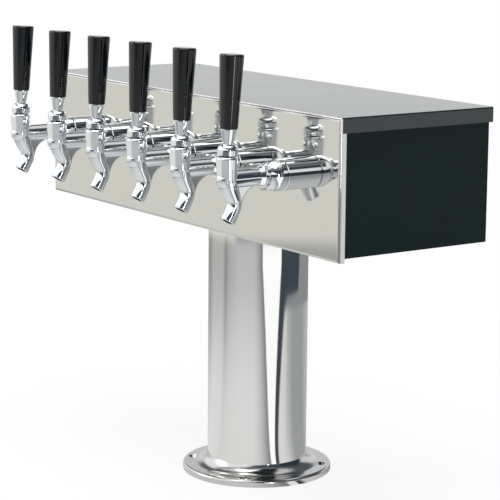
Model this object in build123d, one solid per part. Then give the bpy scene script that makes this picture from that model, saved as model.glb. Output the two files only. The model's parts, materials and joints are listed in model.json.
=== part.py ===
from build123d import *
import os
from math import cos, hypot, radians, sin, sqrt, tan

# Six-tap beer tower: a wide box housing on a round column with a bolt-down flange.
# Units are mm.  +Z is up, +X runs along the row of taps, and the taps face -Y.
# The origin is the centre of the flange's underside, on the column's axis.

os.makedirs("parts", exist_ok=True)

# ---------------------------------------------------------------- driving sizes
tap_count = 6
tap_pitch = 76.2

# clearances
running_gap = 0.08        # radial, a part that slides or turns in another
seat_gap = 0.05           # radial, screwed or pressed parts of one assembly
cover_gap = 0.3           # between the lid and what it slides over
lift_gap = 0.2            # under the lid plate where it rests
overrun = 1.0             # how far a cutter runs past the face that it cuts

# column and base flange
column_d = 101.6
column_wall = 1.6
flange_d = 152.4
flange_rim_h = 7.0
flange_rim_round = 2.6
flange_cove_top = 16.0
flange_cove_d = 128.0
flange_top_land = 0.6     # flat ring round the column at the cove's top
flange_floor = 3.0        # thickness of the lip under the column
flange_lip = 3.4          # how far that lip reaches inside the column
bolt_circle_d = 132.0
bolt_hole_d = 6.6
bolt_sink_d = 12.0
bolt_count = 4
gasket_t = 1.5
gasket_w = 7.0
gasket_inset = 4.0        # gasket's inner edge, outside the column's wall

# insulation and the ring that joins the column to the housing
insulation_t = 12.0
ring_t = 8.0
ring_w = 11.0
ring_screw_count = 4
ring_screw_d = 5.0
ring_screw_head_d = 9.0
ring_screw_head_h = 2.8
ring_screw_edge = 1.5      # straight edge of the head, below its dome
ring_screw_top_d = 5.6
ring_screw_reach = 7.0

# housing, front panel and lid
housing_w = 514.0         # over the lid's skirts
housing_front = 92.6      # column axis to the front panel's face
housing_back = 85.2       # column axis to the lid's back skirt
lid_t = 1.5
lid_skirt = 14.0
lid_bend = 1.2
lid_back_gap = 1.5
shell_t = 1.5
shell_bend = 2.5
frame_w = 14.0            # width of the flanges behind the front panel
panel_t = 1.2
panel_drop = 3.7          # how far the front panel hangs below the floor
panel_rim = 7.0
panel_bend = 2.6
slack = 0.1               # between the panel's rim and the shell

# taps: heights and distances in front of the panel's face
tap_z = 337.0             # barrel axis above the counter
tap_over_floor = 70.0     # barrel axis above the housing's underside
lid_over_tap = 56.7       # lid's top above the barrel axis
lever_out = 75.8          # lever axis in front of the panel
lever_rise = 14.5         # ball centre above the barrel axis
lever_lean = 2.6          # degrees that the closed lever leans back
lever_swing = 28.0        # degrees from closed to open
nose_out = 86.0
nose_d = 16.4
barrel_d = 16.0
bore_d = 11.0
bore_end_gap = 0.5        # bore's end, past the shaft's head
body_flange_d = 22.4
body_flange_t = 3.5
body_neck_d = 18.0
body_neck_l = 8.5
body_taper_l = 4.5
cup_d = 18.8
cup_foot_d = 13.6         # cup's lower edge, round the top of the spout
cup_foot_drop = 7.0       # that edge below the barrel axis
cup_shoulder = 10.0       # cup's shoulder above the barrel axis
cup_neck_d = 17.6
cup_neck_h = 4.0
cup_bore_d = 13.6
seat_d = 15.2
seat_bore_d = 10.2
seat_h = 4.0
seat_drop = 2.0           # seat's top below the ball's centre

# spout tube, as stations along its middle: out, below the barrel axis, lean, radius
spout = [
    (75.2, 1.0, -16.0, 8.6),
    (73.6, 6.5, -20.0, 8.3),
    (70.6, 13.5, -20.0, 7.3),
    (68.0, 20.5, -4.0, 6.5),
    (69.2, 27.0, 18.0, 6.5),
    (72.2, 33.2, 29.0, 6.7),
    (75.2, 38.0, 32.0, 6.8),
]
spout_bore_d = 9.4
mouth_cut = 3.0           # how far the spout's bore is cut past its tip

# web behind the spout: its lower edge, as out and below the barrel axis
web_edge = [
    (41.3, 6.4),
    (47.8, 8.6),
    (53.3, 11.6),
    (57.0, 15.4),
    (59.2, 19.6),
    (61.0, 26.0),
    (67.1, 36.2),
]
web_t = 4.6
web_round = 1.6

# lever, ferrule and knob, as heights above the ball's centre
ball_d = 12.4
stem_d = 6.8
stem_sink = 0.4           # how far the stem's foot reaches into the ball
finger_d = 3.4
finger_tip_d = 5.2
collar_d = 18.8
collar_foot = 7.2         # lower edge of the collar's skirt
collar_skirt = 4.3
collar_top = 17.0
stud_d = 7.6
stud_l = 24.0
stud_end_gap = 0.5
ferrule_h = 13.4
ferrule_foot_d = 9.8
ferrule_top_d = 14.4
ferrule_band = 0.8
knob_foot_d = 16.4
knob_top_d = 22.0
knob_h = 66.0
knob_round = 1.6
knob_chamfer = 0.5
bonnet_d = 20.0
bonnet_h = 6.2            # bonnet's top above the ball's centre
bonnet_round = 2.4
bonnet_lip = 2.2          # retaining lip above the ball's centre
collar_play = 0.25        # between the collar's hollow and the bonnet's shoulder

# valve shaft
shaft_rod_d = 5.0
shaft_head_l = 14.0
shaft_cone_l = 3.0
shaft_head_end = 82.3
shaft_flat = 3.4          # flat along the head's underside, below the barrel axis
shaft_tail_d = 6.8
shaft_tail_l = 2.4
washer_d = 14.0
washer_t = 4.0
washer_chamfer = 1.0
washer_front = 4.0        # valve seat in front of the body's flange
chamber_d = 15.2
lip_play = 0.55           # finger tip in its hole in the shaft
lip_edge = 0.5            # straight part of that hole above the barrel axis

# shank, its nuts and its tail
shank_collar_d = 29.2
shank_collar_l = 18.4
shank_collar_round = 0.6
shank_nose_l = 7.9
shank_nose_d = 24.0
shank_mouth_l = 8.0
shank_cone_l = 3.0
shank_d = 22.2
shank_l = 52.0
shank_bore_d = 7.9
joint_washer_t = 1.0
nut_d = 29.2
nut_gap = 0.5             # seam between the shank's collar and the nut
nut_straight = 4.9
nut_dome_l = 10.5
nut_nose_d = 21.0
nut_nose_l = 4.5
nut_edge = 0.5
nut_hole_d = 3.4
nut_hole_count = 4
nut_hole_depth = 1.0
nut_hole_turn = 52.0      # degrees round the barrel from +X
lock_nut_af = 31.8
lock_nut_h = 8.0
lock_washer_d = 36.0
lock_washer_t = 2.0
tail_nut_af = 28.6
tail_nut_h = 12.0
tail_nut_lip = 2.5
tail_nut_lip_d = 26.6
hex_land = 0.6            # the nuts' chamfers start this far inside their flats
hex_slope = 30.0          # degrees, the nuts' chamfers
tail_collar_d = 18.0
tail_collar_t = 2.5
tail_d = 8.6
tail_l = 26.0
tail_bore_d = 5.6
barb_h = 0.7
barb_land = 0.4
barb_pitch = 4.5
barb_count = 4

# ---------------------------------------------------------------- derived sizes
column_r = column_d / 2
column_bore_r = column_r - column_wall
tap_xs = [(i - (tap_count - 1) / 2) * tap_pitch for i in range(tap_count)]
housing_floor_z = tap_z - tap_over_floor
lid_top_z = tap_z + lid_over_tap
panel_w = housing_w - 2 * (lid_t + cover_gap)
shell_w = panel_w - 2 * (panel_t + slack)
shell_back = housing_back - lid_t - lid_back_gap
shell_front = housing_front - panel_t
lid_under = lid_top_z - lid_t
shell_top = lid_under - lift_gap
line_way_r = column_bore_r - seat_gap - ring_w
ring_screw_r = column_bore_r - seat_gap - ring_w / 2

# along the tap, out of the panel
joint_out = shank_collar_l + shank_nose_l
body_back = joint_out + joint_washer_t
flange_out = body_back + body_flange_t
seat_out = flange_out + washer_front
nut_start = shank_collar_l + nut_gap
dome_start = nut_start + nut_straight
dome_end = dome_start + nut_dome_l
nut_end = dome_end + nut_nose_l
shaft_head_d = bore_d - 2 * running_gap
seat_low = lever_rise - seat_drop - seat_h

# lever's travel
swing_rad = radians(lever_swing)
lean_rad = radians(lever_lean)
open_rad = swing_rad - lean_rad
finger_out = lever_out + lever_rise * tan(lean_rad)
finger_l = lever_rise / cos(lean_rad)
valve_travel = finger_l * (sin(open_rad) + sin(lean_rad))
bonnet_reach = hypot(bonnet_d / 2 - bonnet_round, bonnet_h - bonnet_round) + bonnet_round
hollow_r = bonnet_reach + collar_play


def save(node, solids):
    """Write one node, which is a solid or a list of separate solids."""
    if isinstance(solids, list):
        solids = Compound(children=solids)
    solids.label = node
    export_step(solids, f"parts/{node}.step")


def at_taps(shape):
    """Copies of a shape that was built on the panel's face with the tap's axis as its origin."""
    return [Pos(x, -housing_front, tap_z) * shape for x in tap_xs]


def box(x0, x1, y0, y1, z0, z1):
    """A box between two corners."""
    return Pos((x0 + x1) / 2, (y0 + y1) / 2, (z0 + z1) / 2) * Box(x1 - x0, y1 - y0, z1 - z0)


def turned(outline):
    """A solid turned about the Z axis from (radius, height) corners."""
    return revolve(Plane.XZ * make_face(Polyline(*outline, close=True)), Axis.Z)


def along_tap(shape):
    """Lay a shape turned about Z along the tap: its Z becomes the distance out of the panel."""
    return Rot(90, 0, 0) * shape


def over_ball(shape):
    """Stand a shape turned about Z upright over the lever's ball."""
    return Pos(0, -lever_out, 0) * shape


def on_lever(shape):
    """Stand a shape turned about Z on the ball's centre, leaning back as the closed lever does."""
    return Pos(0, -lever_out, lever_rise) * Rot(-lever_lean, 0, 0) * shape


# ---------------------------------------------------------------- base and column
def base_flange():
    rim_r = flange_d / 2
    cove_r = flange_cove_d / 2
    socket_r = column_r + seat_gap
    with BuildPart() as part:
        with BuildSketch(Plane.XZ):
            with BuildLine():
                Line((column_bore_r - flange_lip, 0), (rim_r, 0))
                Line((rim_r, 0), (rim_r, flange_rim_h))
                Line((rim_r, flange_rim_h), (cove_r, flange_rim_h))
                cove = (cove_r, flange_rim_h), (socket_r + flange_top_land, flange_cove_top)
                TangentArc(*cove, tangent=(-1, 0))
                Line(cove[1], (socket_r, flange_cove_top))
                Line((socket_r, flange_cove_top), (socket_r, flange_floor))
                Line((socket_r, flange_floor), (column_bore_r - flange_lip, flange_floor))
                Line((column_bore_r - flange_lip, flange_floor), (column_bore_r - flange_lip, 0))
            make_face()
        revolve(axis=Axis.Z)
        rim = part.edges().filter_by(GeomType.CIRCLE).sort_by(SortBy.RADIUS)[-2:].sort_by(Axis.Z)[-1]
        fillet(rim, flange_rim_round)
    gasket_r = column_r + gasket_inset
    groove = turned([
        (gasket_r - slack, 0),
        (gasket_r + gasket_w + slack, 0),
        (gasket_r + gasket_w + slack, gasket_t),
        (gasket_r - slack, gasket_t),
    ])
    body = part.part - groove
    for spot in PolarLocations(bolt_circle_d / 2, bolt_count, start_angle=45):
        body -= spot * Pos(0, 0, flange_rim_h / 2) * Cylinder(bolt_hole_d / 2, flange_rim_h * 3)
        sink = (bolt_sink_d - bolt_hole_d) / 2
        cone = Cone(bolt_hole_d / 2, bolt_sink_d / 2, sink, align=(Align.CENTER, Align.CENTER, Align.MAX))
        body -= spot * Pos(0, 0, flange_rim_h) * cone
    return body


def base_gasket():
    inner = column_r + gasket_inset
    return turned([(inner, 0), (inner + gasket_w, 0), (inner + gasket_w, gasket_t), (inner, gasket_t)])


def column_tube():
    return turned([
        (column_bore_r, flange_floor),
        (column_r, flange_floor),
        (column_r, housing_floor_z),
        (column_bore_r, housing_floor_z),
    ])


def column_insulation():
    outer = column_bore_r - seat_gap
    top = housing_floor_z - ring_t
    return turned([
        (outer - insulation_t, flange_floor),
        (outer, flange_floor),
        (outer, top),
        (outer - insulation_t, top),
    ])


def ring_screw_spots():
    return PolarLocations(ring_screw_r, ring_screw_count, start_angle=45)


def column_ring():
    outer = column_bore_r - seat_gap
    ring = turned([
        (line_way_r, housing_floor_z - ring_t),
        (outer, housing_floor_z - ring_t),
        (outer, housing_floor_z),
        (line_way_r, housing_floor_z),
    ])
    for spot in ring_screw_spots():
        ring -= spot * Pos(0, 0, housing_floor_z) * Cylinder(ring_screw_d / 2 + seat_gap, ring_t * 3)
    return ring


def ring_screws():
    top = housing_floor_z + shell_t
    low = housing_floor_z - ring_screw_reach
    shank = ring_screw_d / 2
    head = ring_screw_head_d / 2
    screw = turned([
        (0, low),
        (shank, low),
        (shank, top),
        (head, top),
        (head, top + ring_screw_edge),
        (ring_screw_top_d / 2, top + ring_screw_head_h),
        (0, top + ring_screw_head_h),
    ])
    return [spot * screw for spot in ring_screw_spots()]


# ---------------------------------------------------------------- housing
def housing_shell():
    half = shell_w / 2
    tray = box(-half, half, -shell_front, shell_back, housing_floor_z, shell_top)
    uprights = tray.edges().filter_by(Axis.Z).group_by(Axis.Y)
    tray = fillet(uprights[0] + uprights[-1], shell_bend)
    inner = box(
        -half + shell_t, half - shell_t,
        -shell_front + shell_t, shell_back - shell_t,
        housing_floor_z + shell_t, shell_top + shell_t,
    )
    uprights = inner.edges().filter_by(Axis.Z).group_by(Axis.Y)
    tray -= fillet(uprights[0] + uprights[-1], shell_bend - shell_t)
    tray -= box(
        -half + frame_w, half - frame_w,
        -shell_front - shell_t, -shell_front + shell_t * 2,
        housing_floor_z + frame_w, shell_top - frame_w,
    )
    tray -= box(
        -half - overrun, half + overrun,
        -housing_front, -housing_front + panel_rim + slack,
        lid_under - panel_bend - slack, lid_top_z,
    )
    tray -= Pos(0, 0, housing_floor_z) * Cylinder(line_way_r, shell_t * 4)
    for spot in ring_screw_spots():
        tray -= spot * Pos(0, 0, housing_floor_z) * Cylinder(ring_screw_d / 2 + seat_gap, shell_t * 4)
    return tray


def front_panel():
    half = panel_w / 2
    low = housing_floor_z - panel_drop
    outer = box(-half, half, -housing_front, -housing_front + panel_rim, low, lid_under)
    outer = fillet(outer.faces().sort_by(Axis.Y)[0].edges(), panel_bend)
    inner = box(
        -half + panel_t, half - panel_t,
        -shell_front, -housing_front + panel_rim * 3,
        low + panel_t, lid_under - panel_t,
    )
    inner = fillet(inner.faces().sort_by(Axis.Y)[0].edges(), panel_bend - panel_t)
    pan = outer - inner
    for x in tap_xs:
        pan -= Pos(x, -housing_front, tap_z) * along_tap(Cylinder(shank_d / 2 + seat_gap, panel_t * 6))
    return pan


def lid():
    half = housing_w / 2
    outer = box(-half, half, -housing_front, housing_back, lid_top_z - lid_skirt, lid_top_z)
    outer = fillet(outer.edges().filter_by(Axis.Z).group_by(Axis.Y)[-1], shell_bend + lid_t)
    outer = fillet(outer.faces().sort_by(Axis.Z)[-1].edges(), lid_bend)
    inner = box(
        -half + lid_t, half - lid_t,
        -housing_front - lid_t, housing_back - lid_t,
        lid_top_z - lid_skirt * 2, lid_under,
    )
    inner = fillet(inner.edges().filter_by(Axis.Z).group_by(Axis.Y)[-1], shell_bend)
    return outer - inner


# ---------------------------------------------------------------- tap: fixed pieces
# The tap's pieces are built round its own origin: the barrel's axis at the panel's face.
def spout_plane(station):
    out, drop, lean = station[:3]
    tilt = radians(lean)
    return Plane(origin=(0, -out, -drop), x_dir=(1, 0, 0), z_dir=(0, -sin(tilt), -cos(tilt)))


def spout_outside():
    return loft([spout_plane(station) * Circle(station[3]) for station in spout])


def spout_bore():
    """The spout's passage, run on past its mouth."""
    bore = loft([spout_plane(station) * Circle(spout_bore_d / 2) for station in spout])
    past = Cylinder(spout_bore_d / 2, mouth_cut, align=(Align.CENTER, Align.CENTER, Align.MIN))
    return bore + spout_plane(spout[-1]) * past


def spout_web():
    """The thin web that ties the spout to the barrel's underside."""
    edge = [(-out, -drop) for out, drop in web_edge]
    tip_out, tip_drop = spout[-2][:2]
    with BuildPart() as part:
        with BuildSketch(Plane.YZ):
            with BuildLine():
                Spline(*edge)
                Polyline(edge[-1], (-tip_out, -tip_drop), (-spout[1][0], 0), (edge[0][0], 0), edge[0])
            make_face()
        extrude(amount=web_t / 2, both=True)
    web = part.part
    long_edges = web.edges().filter_by(GeomType.BSPLINE)
    return fillet(long_edges, web_round)


def tap_body():
    bore_r = bore_d / 2
    nose_r = nose_d / 2
    nose_mid = nose_out - nose_r
    neck_end = flange_out + body_neck_l
    barrel = turned([
        (0, body_back),
        (body_flange_d / 2, body_back),
        (body_flange_d / 2, flange_out),
        (body_neck_d / 2, flange_out),
        (body_neck_d / 2, neck_end),
        (barrel_d / 2, neck_end + body_taper_l),
        (barrel_d / 2, nose_mid),
        (0, nose_mid),
    ])
    body = along_tap(barrel + Pos(0, 0, nose_mid) * Sphere(nose_r))
    body += over_ball(turned([
        (0, -cup_foot_drop),
        (cup_foot_d / 2, -cup_foot_drop),
        (cup_d / 2, 0),
        (cup_d / 2, cup_shoulder),
        (cup_neck_d / 2, cup_shoulder),
        (cup_neck_d / 2, cup_shoulder + cup_neck_h),
        (0, cup_shoulder + cup_neck_h),
    ]))
    body += spout_web()
    body += spout_outside()
    body -= along_tap(turned([
        (0, body_back - overrun),
        (chamber_d / 2, body_back - overrun),
        (chamber_d / 2, seat_out),
        (bore_r, seat_out),
        (bore_r, shaft_head_end + bore_end_gap),
        (0, shaft_head_end + bore_end_gap),
    ]))
    body -= spout_bore()
    body -= over_ball(turned([
        (0, 0),
        (cup_bore_d / 2, 0),
        (cup_bore_d / 2, seat_low),
        (seat_d / 2 + seat_gap, seat_low),
        (seat_d / 2 + seat_gap, lever_rise),
        (0, lever_rise),
    ]))
    return body


def lever_seat():
    """The ring under the lever's ball, cut to the ball."""
    ring = turned([
        (seat_bore_d / 2, seat_low),
        (seat_d / 2, seat_low),
        (seat_d / 2, seat_low + seat_h),
        (seat_bore_d / 2, seat_low + seat_h),
    ])
    ring -= Pos(0, 0, lever_rise) * Sphere(ball_d / 2 + running_gap)
    return over_ball(ring)


def bonnet():
    """The cap that screws over the cup's neck and holds the ball down."""
    low = cup_shoulder - lever_rise
    outer = turned([
        (cup_neck_d / 2 + seat_gap, low),
        (bonnet_d / 2, low),
        (bonnet_d / 2, bonnet_h),
        (0, bonnet_h),
        (0, cup_neck_h + low),
        (cup_neck_d / 2 + seat_gap, cup_neck_h + low),
    ])
    edge = outer.edges().filter_by(GeomType.CIRCLE).group_by(Axis.Z)[-1].sort_by(SortBy.RADIUS)[-1]
    outer = fillet(edge, bonnet_round)
    stem_reach = stem_d / 2 / cos(open_rad) + running_gap * 2
    throat = bonnet_lip * tan(open_rad) + stem_reach
    above = bonnet_h + overrun
    mouth = above * tan(open_rad) + stem_reach
    outer -= Sphere(ball_d / 2 + running_gap)
    outer -= turned([(0, 0), (throat, 0), (throat, bonnet_lip), (mouth, above), (0, above)])
    return over_ball(Pos(0, 0, lever_rise) * outer)


def coupling_nut():
    """The bell-shaped nut that draws the tap onto its shank, with spanner holes in its nose."""
    thread = shank_nose_d / 2 + seat_gap
    outer = nut_d / 2
    nose = nut_nose_d / 2
    flange_way = body_flange_d / 2 + seat_gap * 2
    neck_way = body_neck_d / 2 + seat_gap * 2
    with BuildPart() as part:
        with BuildSketch(Plane.XZ):
            with BuildLine():
                Polyline((thread, nut_start), (outer - nut_edge, nut_start), (outer, nut_start + nut_edge))
                Line((outer, nut_start + nut_edge), (outer, dome_start))
                TangentArc((outer, dome_start), (nose, dome_end), tangent=(0, 1))
                Polyline((nose, dome_end), (nose, nut_end - nut_edge), (nose - nut_edge, nut_end))
                Polyline((nose - nut_edge, nut_end), (neck_way, nut_end), (neck_way, flange_out))
                Polyline((neck_way, flange_out), (flange_way, flange_out), (flange_way, body_back))
                Polyline((flange_way, body_back), (thread, body_back), (thread, nut_start))
            make_face()
        revolve(axis=Axis.Z)
    nut = part.part
    hole = Rot(0, 90, 0) * Cylinder(nut_hole_d / 2, nut_hole_depth * 2)
    for spot in PolarLocations(nose, nut_hole_count, start_angle=nut_hole_turn):
        nut -= spot * Pos(0, 0, dome_end + (nut_nose_l - nut_edge) / 2) * hole
    return along_tap(nut)


def joint_washer():
    inner = chamber_d / 2
    outer = body_flange_d / 2
    washer = turned([(inner, joint_out), (outer, joint_out), (outer, body_back), (inner, body_back)])
    return along_tap(washer)


def shank():
    """The shank with its outer collar, which stands on the panel, and its threaded nose."""
    bore = shank_bore_d / 2
    mouth_floor = joint_out - shank_mouth_l
    return along_tap(turned([
        (bore, -shank_l),
        (shank_d / 2, -shank_l),
        (shank_d / 2, 0),
        (shank_collar_d / 2, 0),
        (shank_collar_d / 2, shank_collar_l - shank_collar_round),
        (shank_collar_d / 2 - shank_collar_round, shank_collar_l),
        (shank_nose_d / 2, shank_collar_l),
        (shank_nose_d / 2, joint_out),
        (chamber_d / 2, joint_out),
        (chamber_d / 2, mouth_floor),
        (bore, mouth_floor - shank_cone_l),
    ]))


def lock_washer():
    inner = shank_d / 2 + seat_gap
    outer = lock_washer_d / 2
    back = -panel_t - lock_washer_t
    return along_tap(turned([(inner, back), (outer, back), (outer, -panel_t), (inner, -panel_t)]))


def hex_nut(width, height, hole_r):
    nut = extrude(RegularPolygon(width / 2, 6, major_radius=False), height)
    land = width / 2 - hex_land
    corner = width / sqrt(3) + overrun
    chamfer_h = (corner - land) * tan(radians(hex_slope))
    nut &= turned([
        (0, 0),
        (land, 0),
        (corner, chamfer_h),
        (corner, height - chamfer_h),
        (land, height),
        (0, height),
    ])
    return nut - Cylinder(hole_r, height * 3)


def lock_nut():
    nut = hex_nut(lock_nut_af, lock_nut_h, shank_d / 2 + seat_gap)
    return along_tap(Pos(0, 0, -panel_t - lock_washer_t - lock_nut_h) * nut)


def tail_nut():
    """The nut that draws the hose tail onto the shank's end."""
    nut = hex_nut(tail_nut_af, tail_nut_h, shank_d / 2 + seat_gap)
    lip = Cylinder(tail_nut_lip_d / 2, tail_nut_lip, align=(Align.CENTER, Align.CENTER, Align.MIN))
    lip -= Cylinder(tail_d / 2 + barb_h + seat_gap, tail_nut_lip * 3)
    low = -shank_l - tail_collar_t - tail_nut_lip
    return along_tap(Pos(0, 0, low) * (nut + lip))


def hose_tail():
    """A collar that seats on the shank, and a barbed tail for the line."""
    bore = tail_bore_d / 2
    tail_r = tail_d / 2
    seat = -shank_l
    corners = [
        (bore, seat),
        (tail_collar_d / 2, seat),
        (tail_collar_d / 2, seat - tail_collar_t),
        (tail_r, seat - tail_collar_t),
    ]
    end = seat - tail_collar_t - tail_l
    for i in range(barb_count, 0, -1):
        start = end + i * barb_pitch
        corners.append((tail_r, start))
        corners.append((tail_r + barb_h, start))
        corners.append((tail_r, start - barb_pitch + barb_land))
    corners.append((tail_r, end))
    corners.append((bore, end))
    return along_tap(turned(corners))


# ---------------------------------------------------------------- tap: moving pieces
def lever():
    """Ball, finger, stem and stud in one piece, with a hollow collar that rides over the bonnet."""
    ball_r = ball_d / 2
    collar_r = collar_d / 2
    stem_r = stem_d / 2
    stem_meets = sqrt(ball_r ** 2 - stem_r ** 2) - stem_sink
    skirt_end = collar_foot + collar_skirt
    with BuildPart() as part:
        with BuildSketch(Plane.XZ):
            with BuildLine():
                Polyline((0, stem_meets), (stem_r, stem_meets), (stem_r, collar_foot))
                Polyline((stem_r, collar_foot), (collar_r, collar_foot), (collar_r, skirt_end))
                TangentArc((collar_r, skirt_end), (ferrule_foot_d / 2, collar_top), tangent=(0, 1))
                Polyline((ferrule_foot_d / 2, collar_top), (stud_d / 2, collar_top))
                Polyline((stud_d / 2, collar_top), (stud_d / 2, collar_top + stud_l))
                Polyline((stud_d / 2, collar_top + stud_l), (0, collar_top + stud_l), (0, stem_meets))
            make_face()
        revolve(axis=Axis.Z)
    hollow = Sphere(hollow_r) - Cylinder(stem_r, hollow_r * 3)
    body = part.part - hollow + Sphere(ball_r)
    body += Pos(0, 0, -finger_l / 2) * Cylinder(finger_d / 2, finger_l)
    body += Pos(0, 0, -finger_l) * Sphere(finger_tip_d / 2)
    return on_lever(body)


def ferrule():
    hole = stud_d / 2 + seat_gap
    top = collar_top + ferrule_h
    return on_lever(turned([
        (hole, collar_top),
        (ferrule_foot_d / 2, collar_top),
        (ferrule_top_d / 2, top - ferrule_band),
        (ferrule_top_d / 2, top),
        (hole, top),
    ]))


def knob():
    foot = collar_top + ferrule_h
    hole = stud_d / 2 + seat_gap
    depth = stud_l - ferrule_h + stud_end_gap
    solid = turned([
        (0, foot + depth),
        (hole, foot + depth),
        (hole, foot),
        (knob_foot_d / 2 - knob_chamfer, foot),
        (knob_foot_d / 2, foot + knob_chamfer),
        (knob_top_d / 2, foot + knob_h),
        (0, foot + knob_h),
    ])
    rim = solid.edges().filter_by(GeomType.CIRCLE).group_by(Axis.Z)[-1]
    return on_lever(fillet(rim, knob_round))


def valve_shaft():
    """The rod that the lever's finger pushes back; the drink passes under its flattened head."""
    rod = shaft_rod_d / 2
    head = shaft_head_d / 2
    head_start = shaft_head_end - shaft_head_l
    tail = seat_out - running_gap - washer_t
    shaft = along_tap(turned([
        (0, tail - shaft_tail_l),
        (shaft_tail_d / 2, tail - shaft_tail_l),
        (shaft_tail_d / 2, tail),
        (rod, tail),
        (rod, head_start - shaft_cone_l),
        (head, head_start),
        (head, shaft_head_end),
        (0, shaft_head_end),
    ]))
    above = head + overrun
    hole = finger_tip_d / 2 + lip_play
    flare = head * tan(swing_rad) + finger_d / 2 / cos(swing_rad) + lip_play + overrun
    socket = turned([(0, -above), (hole, -above), (hole, lip_edge), (flare, above), (0, above)])
    shaft -= Pos(0, -finger_out, 0) * socket
    ends = shaft_head_end + overrun
    return shaft - box(-above, above, -ends, -head_start + shaft_cone_l, -above, -shaft_flat)


def seat_washer():
    front = seat_out - running_gap
    inner = shaft_rod_d / 2 + seat_gap
    outer = washer_d / 2
    return along_tap(turned([
        (inner, front - washer_t),
        (outer - washer_chamfer, front - washer_t),
        (outer, front - washer_t + washer_chamfer),
        (outer, front),
        (inner, front),
    ]))


# ---------------------------------------------------------------- write the nodes
save("base_flange", base_flange())
save("base_gasket", base_gasket())
save("column_tube", column_tube())
save("column_insulation", column_insulation())
save("column_ring", column_ring())
save("ring_screws", ring_screws())
save("housing_shell", housing_shell())
save("front_panel", front_panel())
save("lid", lid())

save("shanks", at_taps(shank()))
save("lock_washers", at_taps(lock_washer()))
save("lock_nuts", at_taps(lock_nut()))
save("tail_nuts", at_taps(tail_nut()))
save("hose_tails", at_taps(hose_tail()))
save("joint_washers", at_taps(joint_washer()))
save("coupling_nuts", at_taps(coupling_nut()))
save("lever_seats", at_taps(lever_seat()))
save("bonnets", at_taps(bonnet()))

own_pieces = {
    "tap_body": tap_body(),
    "lever": lever(),
    "ferrule": ferrule(),
    "knob": knob(),
    "valve_shaft": valve_shaft(),
    "seat_washer": seat_washer(),
}
for name, shape in own_pieces.items():
    for number, copy in enumerate(at_taps(shape), start=1):
        save(f"{name}_{number}", copy)

print(f"valve travel {valve_travel:.2f} mm over {lever_swing} degrees")
print(f"lever axis at y {-housing_front - lever_out:.2f}, z {tap_z + lever_rise:.2f}")
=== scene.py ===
import json
from math import cos, pi, radians, sin
import bmesh
import bpy
from mathutils import Matrix, Vector


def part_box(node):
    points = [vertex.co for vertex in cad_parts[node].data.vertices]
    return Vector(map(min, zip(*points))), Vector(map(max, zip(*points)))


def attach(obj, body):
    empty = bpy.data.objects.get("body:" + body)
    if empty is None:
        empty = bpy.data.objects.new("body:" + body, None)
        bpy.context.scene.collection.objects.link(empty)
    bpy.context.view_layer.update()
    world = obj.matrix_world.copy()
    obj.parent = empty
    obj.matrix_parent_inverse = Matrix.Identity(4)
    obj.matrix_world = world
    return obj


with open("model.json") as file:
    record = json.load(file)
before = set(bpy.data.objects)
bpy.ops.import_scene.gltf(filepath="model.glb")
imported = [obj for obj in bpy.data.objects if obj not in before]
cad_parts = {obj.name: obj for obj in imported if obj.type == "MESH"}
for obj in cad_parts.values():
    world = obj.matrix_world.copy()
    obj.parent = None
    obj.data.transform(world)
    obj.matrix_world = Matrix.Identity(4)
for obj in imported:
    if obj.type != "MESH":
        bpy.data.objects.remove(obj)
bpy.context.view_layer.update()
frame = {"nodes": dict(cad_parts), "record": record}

nodes = frame["nodes"]
taps = range(1, 7)
print("frame loaded:", len(nodes), "nodes")

# where the camera stands round the tower, in degrees and metres
cameraSet = {
    "azimuth": 55.2,
    "elevation": 10.4,
    "roll": 0.5,
    "distance": 2.081,
    "aimHeight": 0.220,
    "aside": -0.0087,
    "lift": 0.0073,
    "lens": 147.47,
    "sensor": 36,  # mm, as the lens is
    "farthest": 60,
}


def standCamera(s):
    a = radians(s["azimuth"])
    e = radians(s["elevation"])
    r = radians(s["roll"])
    back = Vector((sin(a) * cos(e), -cos(a) * cos(e), sin(e)))
    right = (-back).cross(Vector((0, 0, 1))).normalized()
    up = right.cross(-back)
    place = Vector((0, 0, s["aimHeight"])) + back * s["distance"]
    place = place + right * s["aside"] + up * s["lift"]
    rolledRight = right * cos(r) + up * sin(r)
    rolledUp = up * cos(r) - right * sin(r)
    data = bpy.data.cameras.new("camera")
    data.lens = s["lens"]
    data.sensor_width = s["sensor"]
    data.clip_end = s["farthest"]
    camera = bpy.data.objects.new("camera", data)
    turn = Matrix((rolledRight, rolledUp, back)).transposed().to_4x4()
    camera.matrix_world = Matrix.Translation(place) @ turn
    bpy.context.scene.collection.objects.link(camera)
    bpy.context.scene.camera = camera


standCamera(cameraSet)
print("camera stands")


class Wire:  # one socket's value, which takes part in sums
    def __init__(self, tree, socket):
        self.tree = tree
        self.socket = socket

    def maths(self, operation, *terms):
        node = self.tree.nodes.new("ShaderNodeMath")
        node.operation = operation
        for slot, term in zip(node.inputs, terms):
            if isinstance(term, Wire):
                self.tree.links.new(term.socket, slot)
            else:
                slot.default_value = term
        return Wire(self.tree, node.outputs[0])

    def __add__(self, other):
        return self.maths("ADD", self, other)

    def __radd__(self, other):
        return self.maths("ADD", other, self)

    def __sub__(self, other):
        return self.maths("SUBTRACT", self, other)

    def __rsub__(self, other):
        return self.maths("SUBTRACT", other, self)

    def __mul__(self, other):
        return self.maths("MULTIPLY", self, other)

    def __truediv__(self, other):
        return self.maths("DIVIDE", self, other)

    def __pow__(self, other):
        return self.maths("POWER", self, other)

    def least(self, other):
        return self.maths("MINIMUM", self, other)

    def most(self, other):
        return self.maths("MAXIMUM", self, other)


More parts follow.
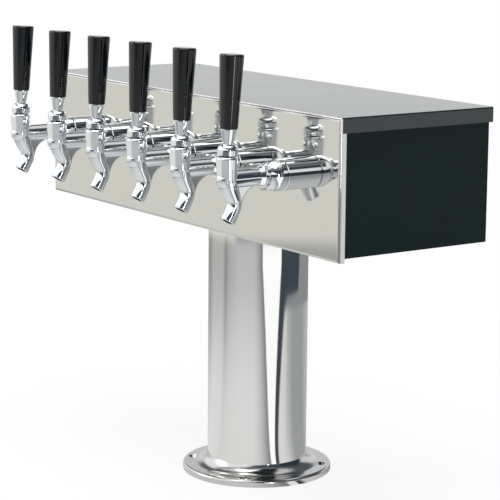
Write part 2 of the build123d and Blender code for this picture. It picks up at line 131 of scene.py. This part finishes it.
class Mixer:  # the nodes of one material or of the world
    def __init__(self, owner):
        owner.use_nodes = True
        self.tree = owner.node_tree
        self.tree.nodes.clear()
        self.end = "OutputWorld" if isinstance(owner, bpy.types.World) else "OutputMaterial"

    def node(self, kind, settings=None, sockets=None, out=0):
        made = self.tree.nodes.new("ShaderNode" + kind)
        for key, value in (settings or {}).items():
            setattr(made, key, value)
        for key, value in (sockets or {}).items():
            if isinstance(value, Wire):
                self.tree.links.new(value.socket, made.inputs[key])
            else:
                made.inputs[key].default_value = value
        return made if out is None else Wire(self.tree, made.outputs[out])

    def place(self):
        return self.node("TexCoord", out="Object")

    def noise(self, scale, detail, rough, place=None):
        sockets = {"Vector": place or self.place(), "Scale": scale}
        return self.node("TexNoise", {}, {**sockets, "Detail": detail, "Roughness": rough})

    def stretched(self, scale):
        return self.node("Mapping", {}, {"Vector": self.place(), "Scale": scale})

    def step(self, value, low, high, before=0.0, after=1.0):
        sockets = {"Value": value, "From Min": low, "From Max": high}
        sockets.update({"To Min": before, "To Max": after})
        return self.node("MapRange", {"interpolation_type": "SMOOTHSTEP"}, sockets)

    def tint(self, share, first, second):
        return self.node("Mix", {"data_type": "RGBA"}, {0: share, 6: first, 7: second}, out=2)

    def blend(self, share, first, second):
        return self.node("Mix", {}, {0: share, 2: first, 3: second})

    def bump(self, strength, height, pattern):  # height in metres
        sockets = {"Strength": strength, "Distance": height, "Height": pattern}
        return self.node("Bump", {}, sockets)

    def surface(self, sockets):
        self.finish(self.node("BsdfPrincipled", {}, sockets))

    def finish(self, shader):
        self.node(self.end, {}, {"Surface": shader}, out=None)


def colour(r, g, b):
    return (r, g, b, 1.0)


# a cloud is a noise's scale, detail and roughness; edges are where it starts and ends to count
steelSet = {
    "bright": (0.84, 0.84, 0.825),
    "warm": (0.78, 0.775, 0.75),
    "rough": 0.035,
    "smudge": 0.05,
    "cloud": (7, 4, 0.6),
    "edges": (0.35, 0.8),
    "rub": (1, 3, 0.7),
    "rubStretch": (900, 900, 14),
    "rubRough": 0.012,
    "rubBump": (0.03, 0.0002),
}
panelSet = {
    **steelSet,
    "bright": (0.67, 0.67, 0.65),
    "warm": (0.62, 0.618, 0.60),
    "rough": 0.02,
    "smudge": 0.03,
}
flangeSet = {
    **steelSet,
    "bright": (0.66, 0.66, 0.65),
    "warm": (0.58, 0.575, 0.56),
    "rough": 0.13,
    "smudge": 0.08,
}
chromeSet = {
    "bright": (0.80, 0.82, 0.835),
    "cool": (0.74, 0.765, 0.785),
    "rough": 0.03,
    "smudge": 0.04,
    "cloud": (60, 3, 0.6),
    "edges": (0.4, 0.85),
}
enamelSet = {
    "deep": (0.0035, 0.0105, 0.0115),
    "pale": (0.0055, 0.0155, 0.0165),
    "rough": 0.15,
    "cloud": (11, 3, 0.55),
    "peel": (420, 2, 0.5),
    "peelRough": 0.06,
    "peelBump": (0.08, 0.0003),
    "gloss": 0.1,
    "coat": 0.0,
    "paintedHighlightEdge": 0,  # where the painted highlight band on the front edge begins, or 0 for none
    # the painted highlight band's softness, and its bright metal colour standing in for the
    # front panel's lit top fold
    "paintedHighlightSoft": 0.0002,
    "paintedHighlightMetal": (0.9, 0.88, 0.92),
}
# the lid carries the painted highlight band along its front edge
lidSet = {**enamelSet, "gloss": 0.45, "coat": 0.5, "paintedHighlightEdge": -0.0915}
knobSet = {
    "deep": (0.0015, 0.0025, 0.0035),
    "pale": (0.003, 0.004, 0.0055),
    "rough": 0.08,
    "smudge": 0.06,
    "cloud": (90, 3, 0.6),
    "edges": (0.45, 0.8),
}
plainSteelSet = {
    "light": (0.62, 0.62, 0.61),
    "dark": (0.45, 0.45, 0.44),
    "rough": 0.28,
    "spread": 0.15,
    "cloud": (120, 4, 0.65),
}
brassSet = {
    "light": (0.80, 0.62, 0.33),
    "dark": (0.62, 0.45, 0.2),
    "rough": 0.22,
    "spread": 0.15,
    "cloud": (90, 4, 0.65),
}
rubberSet = {
    "light": (0.035, 0.035, 0.035),
    "dark": (0.018, 0.018, 0.018),
    "rough": 0.75,
    "cloud": (400, 5, 0.6),
    "bump": (0.4, 0.0003),
}
seatPlasticSet = {
    "light": (0.85, 0.84, 0.80),
    "dark": (0.76, 0.75, 0.70),
    "rough": 0.4,
    "cloud": (200, 5, 0.6),
    "bump": (0.4, 0.0001),
}
foamSet = {
    "light": (0.08, 0.08, 0.085),
    "dark": (0.03, 0.03, 0.032),
    "rough": 0.95,
    "cloud": (700, 5, 0.6),
    "bump": (0.4, 0.0008),
}


def polishedSteel(name, s):
    material = bpy.data.materials.new(name)
    m = Mixer(material)
    cloud = m.noise(*s["cloud"])
    rub = m.noise(*s["rub"], m.stretched(s["rubStretch"]))
    base = m.tint(cloud, colour(*s["bright"]), colour(*s["warm"]))
    rough = s["rough"] + m.step(cloud, *s["edges"]) * s["smudge"] + rub * s["rubRough"]
    bump = m.bump(*s["rubBump"], rub)
    m.surface({"Base Color": base, "Metallic": 1.0, "Roughness": rough, "Normal": bump})
    return material


def chromePlate(name, s):
    material = bpy.data.materials.new(name)
    m = Mixer(material)
    cloud = m.noise(*s["cloud"])
    base = m.tint(cloud, colour(*s["bright"]), colour(*s["cool"]))
    rough = s["rough"] + m.step(cloud, *s["edges"]) * s["smudge"]
    m.surface({"Base Color": base, "Metallic": 1.0, "Roughness": rough})
    return material


def blackEnamel(name, s):
    material = bpy.data.materials.new(name)
    m = Mixer(material)
    cloud = m.noise(*s["cloud"])
    peel = m.noise(*s["peel"])
    base = m.tint(cloud, colour(*s["deep"]), colour(*s["pale"]))
    rough = s["rough"] + cloud * s["peelRough"]
    sockets = {"Base Color": base, "Roughness": rough, "Normal": m.bump(*s["peelBump"], peel)}
    sockets["Specular IOR Level"] = s["gloss"]
    sockets["Coat Weight"] = s["coat"]
    # painted highlight: a bright metal band along the front edge stands in for the highlight
    # line of the front panel's top fold
    if s["paintedHighlightEdge"]:
        front = m.node("SeparateXYZ", {}, {"Vector": m.place()}, out="Y")
        paintedHighlight = m.step(front, s["paintedHighlightEdge"] + s["paintedHighlightSoft"], s["paintedHighlightEdge"])
        sockets["Metallic"] = paintedHighlight
        sockets["Base Color"] = m.tint(paintedHighlight, base, colour(*s["paintedHighlightMetal"]))
    m.surface(sockets)
    return material


def knobPlastic(name, s):
    material = bpy.data.materials.new(name)
    m = Mixer(material)
    cloud = m.noise(*s["cloud"])
    base = m.tint(cloud, colour(*s["deep"]), colour(*s["pale"]))
    rough = s["rough"] + m.step(cloud, *s["edges"]) * s["smudge"]
    m.surface({"Base Color": base, "Roughness": rough})
    return material


def plainMetal(name, s):
    material = bpy.data.materials.new(name)
    m = Mixer(material)
    cloud = m.noise(*s["cloud"])
    base = m.tint(cloud, colour(*s["light"]), colour(*s["dark"]))
    rough = s["rough"] + cloud * s["spread"]
    m.surface({"Base Color": base, "Metallic": 1.0, "Roughness": rough})
    return material


def softStuff(name, s):
    material = bpy.data.materials.new(name)
    m = Mixer(material)
    cloud = m.noise(*s["cloud"])
    base = m.tint(cloud, colour(*s["light"]), colour(*s["dark"]))
    bump = m.bump(*s["bump"], cloud)
    m.surface({"Base Color": base, "Roughness": s["rough"], "Normal": bump})
    return material


finishes = {
    "polished_stainless": polishedSteel("polishedSteel", steelSet),
    "chrome_plate": chromePlate("chromePlate", chromeSet),
    "black_enamel": blackEnamel("blackEnamel", enamelSet),
    "black_knob": knobPlastic("knobPlastic", knobSet),
    "plain_steel": plainMetal("plainSteel", plainSteelSet),
    "brass_fitting": plainMetal("brassFitting", brassSet),
    "rubber": softStuff("blackRubber", rubberSet),
    "seat_plastic": softStuff("seatPlastic", seatPlasticSet),
    "foam": softStuff("darkFoam", foamSet),
}
special = {  # nodes whose finish differs from the rest of their slot
    "lid": blackEnamel("lidEnamel", lidSet),
    "front_panel": polishedSteel("mirrorSteel", panelSet),
    "base_flange": polishedSteel("satinSteel", flangeSet),
}
for entry in frame["record"]["subparts"]:
    mesh = nodes[entry["node"]].data
    mesh.materials.clear()
    mesh.materials.append(special.get(entry["node"], finishes[entry["material_slot"]]))
print("finishes laid on")


def curveThrough(rows, perRow):  # a smooth run of rows that passes through those given
    run = []
    for i in range(len(rows) - 1):
        nearby = [min(max(i + k, 0), len(rows) - 1) for k in (-1, 0, 1, 2)]
        before, start, end, after = (rows[k] for k in nearby)
        for step in range(perRow):
            t = step / perRow
            row = []
            for a, b, c, d in zip(before, start, end, after):
                square = (2 * a - 5 * b + 4 * c - d) * t ** 2
                cube = (3 * b - a - 3 * c + d) * t ** 3
                row.append(0.5 * (2 * b + (c - a) * t + square + cube))
            run.append(row)
    return run + [list(rows[-1])]


def ringSurface(name, rings):  # joins rings of points, one after another
    mesh = bmesh.new()
    made = [[mesh.verts.new(point) for point in ring] for ring in rings]
    for upper, lower in zip(made, made[1:]):
        for k in range(len(upper)):
            after = (k + 1) % len(upper)
            mesh.faces.new((upper[k], upper[after], lower[after], lower[k])).smooth = True
    bmesh.ops.recalc_face_normals(mesh, faces=mesh.faces)
    data = bpy.data.meshes.new(name)
    mesh.to_mesh(data)
    mesh.free()
    piece = bpy.data.objects.new(name, data)
    bpy.context.scene.collection.objects.link(piece)
    return piece


def dress(piece, slotName):
    piece.data.materials.append(finishes[slotName])
    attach(piece, "tower")


# the spout's outside, polished over the casting
spoutSet = {
    "points": 64,
    "perRow": 7,
    "rimInside": 4.76,  # mm, just outside the spout's bore
    "insideWall": 6.6,  # mm from the barrel's axis: the hidden top stays clear of the valve
    "rows": [  # mm in front of the panel, mm below the tap's axis, degrees of turn, radius
        (74.3, 5.0, -19, 8.4),
        (72.9, 9.0, -20, 8.1),
        (71.4, 12.4, -20, 7.65),
        (69.8, 15.8, -16, 7.2),
        (68.5, 19.0, -7, 6.85),
        (68.1, 22.0, 3, 6.76),
        (68.8, 25.6, 14, 6.74),
        (70.3, 29.4, 23, 6.82),
        (72.4, 33.4, 29.2, 6.87),
        (75.24, 38.06, 32, 6.92),
    ],
}


def spoutSkin(tap, s):
    low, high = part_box(f"tap_body_{tap}")
    nutLow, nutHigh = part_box("coupling_nuts")
    middle = (low[0] + high[0]) / 2
    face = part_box("front_panel")[0][1]
    axis = (nutLow[2] + nutHigh[2]) / 2
    perMetre = 1000
    rings = []
    rows = curveThrough(s["rows"], s["perRow"])
    rows.append(rows[-1][:3] + [s["rimInside"]])
    for forward, below, turn, radius in rows:
        a = radians(turn)
        ring = []
        for k in range(s["points"]):
            b = 2 * pi * k / s["points"]
            across, side = radius * sin(b), radius * cos(b)
            ahead = forward + across * cos(a)
            wall = max(s["insideWall"] ** 2 - side ** 2, 0) ** 0.5
            drop = max(below - across * sin(a), wall)
            spot = (middle + side / perMetre, face - ahead / perMetre, axis - drop / perMetre)
            ring.append(spot)
        rings.append(ring)
    return ringSurface(f"spoutSkin{tap}", rings)


for tap in taps:
    dress(spoutSkin(tap, spoutSet), "chrome_plate")
print("spouts polished")

# floor, sky and lamps: what the bright metal shows; the floor's pattern is a painted
# reflection, a glow that only glossy rays see. Levels run from 0 to whitest, bearings are
# degrees round the tower from the side that the main view looks from, and reaches are metres
# from the column's middle. A pair of edges is where a change starts and ends.
lightSet = {
    "whitest": 1.3,
    "darkTone": (0.01, 0.025, 0.045),
    "warmth": (1.01, 1, 0.92),
    "left": 0.90,
    "leftEdges": (-62, -44),
    "dark": 0.16,
    "tables": (0.30, 0.58),  # nearer and farther than the taps' own height sees
    "tableEdges": (2.2, 2.7),
    "tableEnd": (3.9, 4.3),
    "strip": (41, 50, 1),  # bearings of its edges, and how soft they are
    "foldCard": (61, 80, 2),
    "fold": 0.9,
    "behind": 0.55,
    "behindEdges": (112, 140),
}
# the floor's glow for glossy rays is a painted reflection: its cards, flags, lines and shade
# are painted
floorSet = {
    "size": 12.0,
    "drop": 0.0003,
    "paint": (0.95, 0.95, 0.95),
    "shadow": 0.12,  # share of the shaded floor that the camera sees near the flange
    "shadowEdges": (0.15, 0.9),
    "open": 0.83,
    "openFade": 0.25,
    "openEdges": (0.3, 1.2),
    "farLeft": (-100, -66, 0.07, 0),
    "farLeftReach": (0.3, 0.9),
    "shadeFrom": 12,  # degrees on the main view's left where the shade by the card begins
    "shadePower": 1.8,
    "shadeDepth": 0.74,
    "line": ((-88, -79), (-79, -70)),  # a thin dark line at the left
    "lineDepth": (0.1, 1.1, 0.03, 0.2),
    "glow": ((-92, -79), (-79, -40)),  # and the wide dip round it
    "glowDepth": (0.1, 1.1, 0.04, 0.24),
    "back": (-145, -118, 1, 0),
    "backDepth": (0.1, 0.8, 0.1, 0.34),
    "right": (52, 88, 0.80, 0.37),
    "rightBack": (115, 145),
    "rightRise": 0.13,
    "rightDim": 0.28,
    "rightDimEdges": (0.84, 0.89),
    "whiteCard": (28.5, -16, 34, 16),  # low and high bearing: at the flange, change per metre
    "whiteReach": 1.2,
    "whiteSoft": 1.2,
    "white": 1.2,
    "blackFlag": (6, 10, 38),  # width: at the flange, more per metre, more beyond the first
    "blackReach": (0.94, 0.98),
    "blackEdges": ((-1, 1), (-3, 2)),
    "black": 0.045,
    "floorEnd": (1.35, 1.52),
    "warmSide": (-66, -62, 1, 0),
    "warmReach": (0.9, 1.5),
}
skySet = {  # a rise is the sine of the angle above the horizon
    "open": 0.82,
    "ring": (0.35, 0.79, 0.07),
    "ringLevel": 0.10,
    "leftCard": (-150, -34, 8),
    "leftCardRise": (0.14, 0.72, 0.03),
    "leftCardLevel": 1.2,
    "front": (-40, 50, 5),
    "bandRise": 0.4,
    "bandLean": 120,  # degrees of bearing per unit of rise
    "band": (-1, 5, 1.3, 0.04),
    "lowEdges": (0.17, 0.24),
    "lowLevel": 0.03,
    "topEdges": (0.60, 0.70),
    "topLevel": 0.22,
    "right": (54, 117, 4),
    "rightTop": (0.5, 0.7),
    "rightLevel": 0.025,
    "footEdges": (-0.02, 0.02),
    "fill": (0.95, 0.97, 1.0),
    "fillStrength": 0.55,
}


def rayShare(m, kind):
    return m.node("LightPath", out=kind)


def along(m, place, x, y):  # how far a place or a direction reaches toward (x, y)
    settings = {"operation": "DOT_PRODUCT"}
    return m.node("VectorMath", settings, {0: place, 1: (x, y, 0)}, out="Value")


def bearings(m, place):
    a = radians(cameraSet["azimuth"])
    toward = along(m, place, sin(a), -cos(a))
    aside = along(m, place, cos(a), sin(a))
    reach = (toward * toward + aside * aside) ** 0.5
    return aside.maths("ARCTAN2", aside, toward) * (180 / pi), reach


def inside(m, value, rising, falling):  # 1 between two soft edges, and 0 outside them
    return m.step(value, *rising) * (1 - m.step(value, *falling))


def between(m, value, low, high, soft):
    return inside(m, value, (low - soft, low + soft), (high - soft, high + soft))


def litTone(m, level, warmth):
    whitest = lightSet["whitest"]
    level = level / whitest
    dark = colour(*lightSet["darkTone"])
    cool = m.tint(level, dark, colour(whitest, whitest, whitest))
    warm = m.tint(level, dark, colour(*(whitest * part for part in lightSet["warmth"])))
    return m.tint(warmth, cool, warm)


def horizonTone(m, bearing, front):  # far floor and the sky's foot
    s = lightSet
    level = m.step(bearing, *s["leftEdges"], s["left"], front)
    level = m.blend(between(m, bearing, *s["strip"]), level, s["whitest"])
    level = m.blend(between(m, bearing, *s["foldCard"]), level, s["fold"])
    return m.blend(m.step(bearing, *s["behindEdges"]), level, s["behind"])


def leftFloor(m, bearing, reach, whiteLow, s):
    level = s["open"] - m.step(reach, *s["openEdges"]) * s["openFade"]
    level = level - m.step(bearing, *s["farLeft"]) * m.step(reach, *s["farLeftReach"])
    # painted shade in the floor's painted reflection, darkening toward the white card
    shade = (bearing + s["shadeFrom"]) / (whiteLow + s["shadeFrom"])
    shade = shade.most(0).least(1) ** s["shadePower"]
    level = level * (1 - shade * s["shadeDepth"])
    line = inside(m, bearing, *s["line"]) * m.step(reach, *s["lineDepth"])
    glow = inside(m, bearing, *s["glow"]) * m.step(reach, *s["glowDepth"])
    level = level * (1 - line - glow)
    return level * (1 - m.step(bearing, *s["back"]) * m.step(reach, *s["backDepth"]))


def rightFloor(m, bearing, reach, s):
    level = m.step(bearing, *s["right"]) + m.step(bearing, *s["rightBack"]) * s["rightRise"]
    return m.blend(m.step(reach, *s["rightDimEdges"]), level, level.least(s["rightDim"]))


def floorTone(m, s):  # painted reflection: cards, flags and shade painted into the floor's glow, as bright metal shows them
    bearing, reach = bearings(m, m.node("NewGeometry", out="Position"))
    low, lowMore, high, highMore = s["whiteCard"]
    near = reach.least(s["whiteReach"])
    whiteLow = low + near * lowMore
    whiteHigh = high + near * highMore
    wide, wideMore, widest = s["blackFlag"]
    beyond = m.step(reach, *s["blackReach"]) * widest
    flagEnd = whiteHigh + wide + reach.least(1) * wideMore + beyond
    startEdges, endEdges = s["blackEdges"]
    soft = s["whiteSoft"]
    pastWhite = m.step(bearing - whiteHigh, *startEdges)
    level = leftFloor(m, bearing, reach, whiteLow, s)
    level = m.blend(pastWhite, level, rightFloor(m, bearing, reach, s))
    inWhite = m.step(bearing - whiteLow, -soft, soft)
    inWhite = inWhite * (1 - m.step(bearing - whiteHigh, -soft, soft))
    level = m.blend(inWhite, level, s["white"])
    inBlack = pastWhite * (1 - m.step(bearing - flagEnd, *endEdges))
    level = m.blend(inBlack, level, s["black"])
    tables = m.step(reach, *lightSet["tableEdges"], *lightSet["tables"])
    front = m.blend(m.step(reach, *lightSet["tableEnd"]), tables, lightSet["dark"])
    level = m.blend(m.step(reach, *s["floorEnd"]), level, horizonTone(m, bearing, front))
    return litTone(m, level, m.step(bearing, *s["warmSide"]) * m.step(reach, *s["warmReach"]))


def layFloor(s):
    half = s["size"] / 2
    mesh = bpy.data.meshes.new("floor")
    corners = [(-half, -half), (half, -half), (half, half), (-half, half)]
    mesh.from_pydata([(x, y, -s["drop"]) for x, y in corners], [], [(0, 1, 2, 3)])
    floor = bpy.data.objects.new("floor", mesh)
    bpy.context.scene.collection.objects.link(floor)
    material = bpy.data.materials.new("paleFloor")
    m = Mixer(material)
    reach = bearings(m, m.node("NewGeometry", out="Position"))[1]
    matt = m.node("BsdfDiffuse", {}, {"Color": colour(*s["paint"])})
    shown = m.node("Emission", {}, {"Color": colour(1, 1, 1), "Strength": 1.0})
    white = m.step(reach, *s["shadowEdges"], 1 - s["shadow"], 1)
    seen = m.node("MixShader", {}, {0: rayShare(m, "Is Camera Ray") * white, 1: matt, 2: shown})
    # the floor glows with the painted reflection pattern, for glossy rays only
    glossy = m.node("Emission", {}, {"Color": floorTone(m, s), "Strength": 1.0})
    m.finish(m.node("MixShader", {}, {0: rayShare(m, "Is Glossy Ray"), 1: seen, 2: glossy}))
    mesh.materials.append(material)


def skyTone(m, way, s):
    rise = m.node("SeparateXYZ", {}, {"Vector": way}, out="Z")
    bearing = bearings(m, way)[0]
    level = m.blend(between(m, rise, *s["ring"]), s["open"], s["ringLevel"])
    leftCard = between(m, bearing, *s["leftCard"]) * between(m, rise, *s["leftCardRise"])
    level = m.blend(leftCard, level, s["leftCardLevel"])
    band = m.step(bearing + (rise - s["bandRise"]) * s["bandLean"], *s["band"])
    low = m.blend(m.step(rise, *s["lowEdges"]), s["lowLevel"], band)
    high = m.blend(m.step(rise, *s["topEdges"]), low, s["topLevel"])
    level = m.blend(between(m, bearing, *s["front"]), level, high)
    right = between(m, bearing, *s["right"]) * (1 - m.step(rise, *s["rightTop"]))
    level = m.blend(right, level, s["rightLevel"])
    foot = horizonTone(m, bearing, lightSet["dark"])
    return litTone(m, m.blend(m.step(rise, *s["footEdges"]), foot, level), 0.0)


def hangSky(s):
    world = bpy.data.worlds.new("studio")
    bpy.context.scene.world = world
    m = Mixer(world)
    tone = skyTone(m, m.node("TexCoord", out="Generated"), s)
    filling = {"Color": colour(*s["fill"]), "Strength": s["fillStrength"]}
    bright = m.node("Background", {}, {"Color": colour(1, 1, 1), "Strength": 1.0})
    shown = m.node("Background", {}, {"Color": tone, "Strength": 1.0})
    fill = m.node("Background", {}, filling)
    mixed = m.node("MixShader", {}, {0: rayShare(m, "Is Glossy Ray"), 1: fill, 2: shown})
    m.finish(m.node("MixShader", {}, {0: rayShare(m, "Is Camera Ray"), 1: mixed, 2: bright}))


lampSet = {
    "overhead": {"place": (0.2, -0.3, 2.2), "size": (1.6, 1.6), "power": 30},
    "leftFront": {"place": (-1.6, -2.2, 1.3), "size": (1.0, 1.4), "power": 18},
    "rightStrip": {"place": (2.4, -0.35, 0.3), "size": (0.10, 1.2), "power": 6},
}
lampAim = (0, 0, 0.25)


def hangLamps(lamps):
    for name, s in lamps.items():
        data = bpy.data.lights.new(name, "AREA")
        data.shape = "RECTANGLE"
        data.size, data.size_y = s["size"]
        data.energy = s["power"]
        lamp = bpy.data.objects.new(name, data)
        place = Vector(s["place"])
        lamp.location = place
        lamp.rotation_euler = (Vector(lampAim) - place).to_track_quat("-Z", "Y").to_euler()
        bpy.context.scene.collection.objects.link(lamp)


layFloor(floorSet)
hangSky(skySet)
hangLamps(lampSet)
bpy.context.scene.view_settings.view_transform = "Standard"
print("studio lit")
